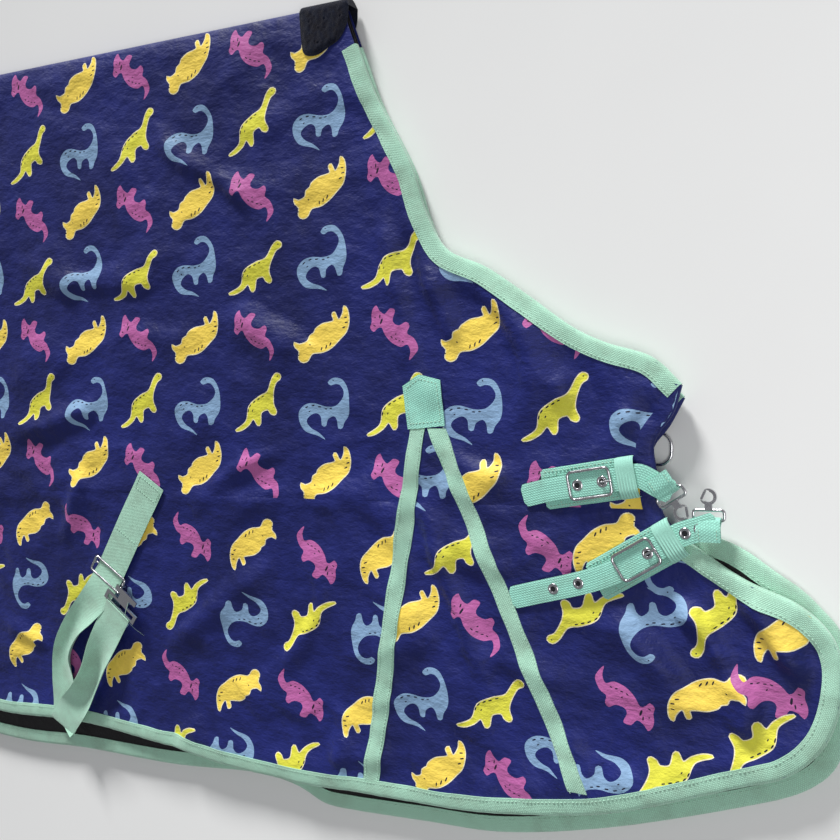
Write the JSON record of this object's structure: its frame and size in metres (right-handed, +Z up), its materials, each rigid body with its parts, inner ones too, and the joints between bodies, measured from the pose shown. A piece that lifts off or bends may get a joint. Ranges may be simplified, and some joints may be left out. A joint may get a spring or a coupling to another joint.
{
  "type": "horse turnout rug",
  "caption": "Padded turnout rug lying folded along its back, with a printed shell, taped edges, a belly gusset, buckled chest straps and hooked belly surcingles.",
  "frame": {"origin": "withers end of the fold along the back, at ground level", "axes": "+X towards the neck along the fold, +Y from the hem to the fold, +Z up with the rug lying flat on its left half"},
  "size_m": [1.9092, 0.9306, 0.0379],
  "materials": {
    "printed_shell": "tightly woven waterproof polyester, navy with a printed motif",
    "lining": "smooth dark nylon lining",
    "wadding": "white polyester wadding",
    "fleece": "dark pile fleece",
    "mint_webbing": "mint polyester webbing and tape",
    "elastic": "ribbed mint elastic",
    "bright_metal": "bright plated steel"
  },
  "bodies": {
    "root": {"left_upper_panel": "printed_shell", "left_lower_panel": "printed_shell", "left_front_panel": "printed_shell", "left_gusset_insert": "printed_shell", "left_fill": "wadding", "left_lining": "lining", "left_neck_binding": "mint_webbing", "left_edge_binding": "mint_webbing", "left_gusset_patch": "mint_webbing", "left_gusset_trims": "mint_webbing", "left_wither_fleece": "fleece", "chest_ring_tabs": "mint_webbing", "socket_tabs": "mint_webbing"},
    "right_side": {"right_upper_panel": "printed_shell", "right_lower_panel": "printed_shell", "right_front_panel": "printed_shell", "right_gusset_insert": "printed_shell", "right_fill": "wadding", "right_lining": "lining", "right_neck_binding": "mint_webbing", "right_edge_binding": "mint_webbing", "right_gusset_patch": "mint_webbing", "right_gusset_trims": "mint_webbing", "right_wither_fleece": "fleece", "upper_backing": "mint_webbing", "upper_chape": "mint_webbing", "upper_keeper": "elastic", "upper_buckle_frame": "bright_metal", "upper_billet": "mint_webbing", "upper_eyelets": "bright_metal", "lower_backing": "mint_webbing", "lower_chape": "mint_webbing", "lower_keeper": "elastic", "lower_buckle_frame": "bright_metal", "lower_billet": "mint_webbing", "lower_eyelets": "bright_metal"},
    "upper_tongue": {"upper_tongue": "bright_metal"},
    "upper_snap": {"upper_snap_hook": "bright_metal"},
    "upper_gate": {"upper_snap_gate": "bright_metal"},
    "upper_ring": {"upper_chest_ring": "bright_metal"},
    "lower_tongue": {"lower_tongue": "bright_metal"},
    "lower_snap": {"lower_snap_hook": "bright_metal"},
    "lower_gate": {"lower_snap_gate": "bright_metal"},
    "lower_ring": {"lower_chest_ring": "bright_metal"},
    "front_surcingle": {"front_surcingle": "mint_webbing"},
    "front_slider": {"front_slider": "bright_metal"},
    "front_t_hook": {"front_t_hook": "bright_metal"},
    "front_socket": {"front_socket_plate": "bright_metal"},
    "rear_surcingle": {"rear_surcingle": "mint_webbing"},
    "rear_slider": {"rear_slider": "bright_metal"},
    "rear_t_hook": {"rear_t_hook": "bright_metal"},
    "rear_socket": {"rear_socket_plate": "bright_metal"}
  },
  "joints": [
    {"name": "spine_fold", "type": "hinge", "parent": "root", "child": "right_side", "pos_m": [0, 0, 0.0151], "axis": [-1, 0, 0], "range_deg": [0, 180]},
    {"name": "upper_tongue_lift", "type": "hinge", "parent": "right_side", "child": "upper_tongue", "pos_m": [0.291, -0.5205, 0.0284], "axis": [0.1908, -0.9816, 0], "range_deg": [0, 8]},
    {"name": "upper_snap_swing", "type": "hinge", "parent": "right_side", "child": "upper_snap", "pos_m": [0.369, -0.526, 0.0264], "axis": [-0.8192, -0.5736, 0], "range_deg": [-10, 3]},
    {"name": "upper_gate_swing", "type": "hinge", "parent": "upper_snap", "child": "upper_gate", "pos_m": [0.38646, -0.53994, 0.0264], "axis": [0, 0, -1], "range_deg": [0, 25], "stiffness_Nm_per_rad": 0.02},
    {"name": "lower_tongue_lift", "type": "hinge", "parent": "right_side", "child": "lower_tongue", "pos_m": [0.339, -0.594, 0.0284], "axis": [0.5446, -0.8387, 0], "range_deg": [0, 8]},
    {"name": "lower_snap_swing", "type": "hinge", "parent": "right_side", "child": "lower_snap", "pos_m": [0.408, -0.551, 0.0259], "axis": [0.9994, 0.0349, 0], "range_deg": [-10, 25]},
    {"name": "lower_gate_swing", "type": "hinge", "parent": "lower_snap", "child": "lower_gate", "pos_m": [0.40095, -0.52981, 0.0259], "axis": [0, 0, -1], "range_deg": [0, 25], "stiffness_Nm_per_rad": 0.02},
    {"name": "upper_ring_swing", "type": "hinge", "parent": "root", "child": "upper_ring", "pos_m": [0.342, -0.486, 0.0028], "axis": [0, 1, 0], "range_deg": [0, 90]},
    {"name": "lower_ring_swing", "type": "hinge", "parent": "root", "child": "lower_ring", "pos_m": [0.345, -0.604, 0.0028], "axis": [0, 1, 0], "range_deg": [0, 90]},
    {"name": "front_surcingle_swing", "type": "hinge", "parent": "right_side", "child": "front_surcingle", "pos_m": [-0.3025, -0.5485, 0.0243], "axis": [-0.8581, 0.5135, 0], "range_deg": [0, 85]},
    {"name": "front_slider_slide", "type": "slide", "parent": "front_surcingle", "child": "front_slider", "axis": [0.5135, 0.8581, 0], "range_m": [0, 0.06]},
    {"name": "front_t_hook_swing", "type": "hinge", "parent": "front_surcingle", "child": "front_t_hook", "pos_m": [-0.358, -0.722, 0.03464], "axis": [0.826, -0.5636, 0], "range_deg": [0, 75]},
    {"name": "rear_surcingle_swing", "type": "hinge", "parent": "right_side", "child": "rear_surcingle", "pos_m": [-0.7425, -0.5485, 0.0243], "axis": [-0.8581, 0.5135, 0], "range_deg": [0, 85]},
    {"name": "rear_slider_slide", "type": "slide", "parent": "rear_surcingle", "child": "rear_slider", "axis": [0.5135, 0.8581, 0], "range_m": [0, 0.06]},
    {"name": "rear_t_hook_swing", "type": "hinge", "parent": "rear_surcingle", "child": "rear_t_hook", "pos_m": [-0.798, -0.722, 0.03464], "axis": [0.826, -0.5636, 0], "range_deg": [0, 75]},
    {"name": "front_socket_swing", "type": "hinge", "parent": "root", "child": "front_socket", "pos_m": [-0.33, -0.64, 0.00304], "axis": [1, 0, 0], "range_deg": [0, 80]},
    {"name": "rear_socket_swing", "type": "hinge", "parent": "root", "child": "rear_socket", "pos_m": [-0.77, -0.64, 0.00304], "axis": [1, 0, 0], "range_deg": [0, 80]}
  ]
}
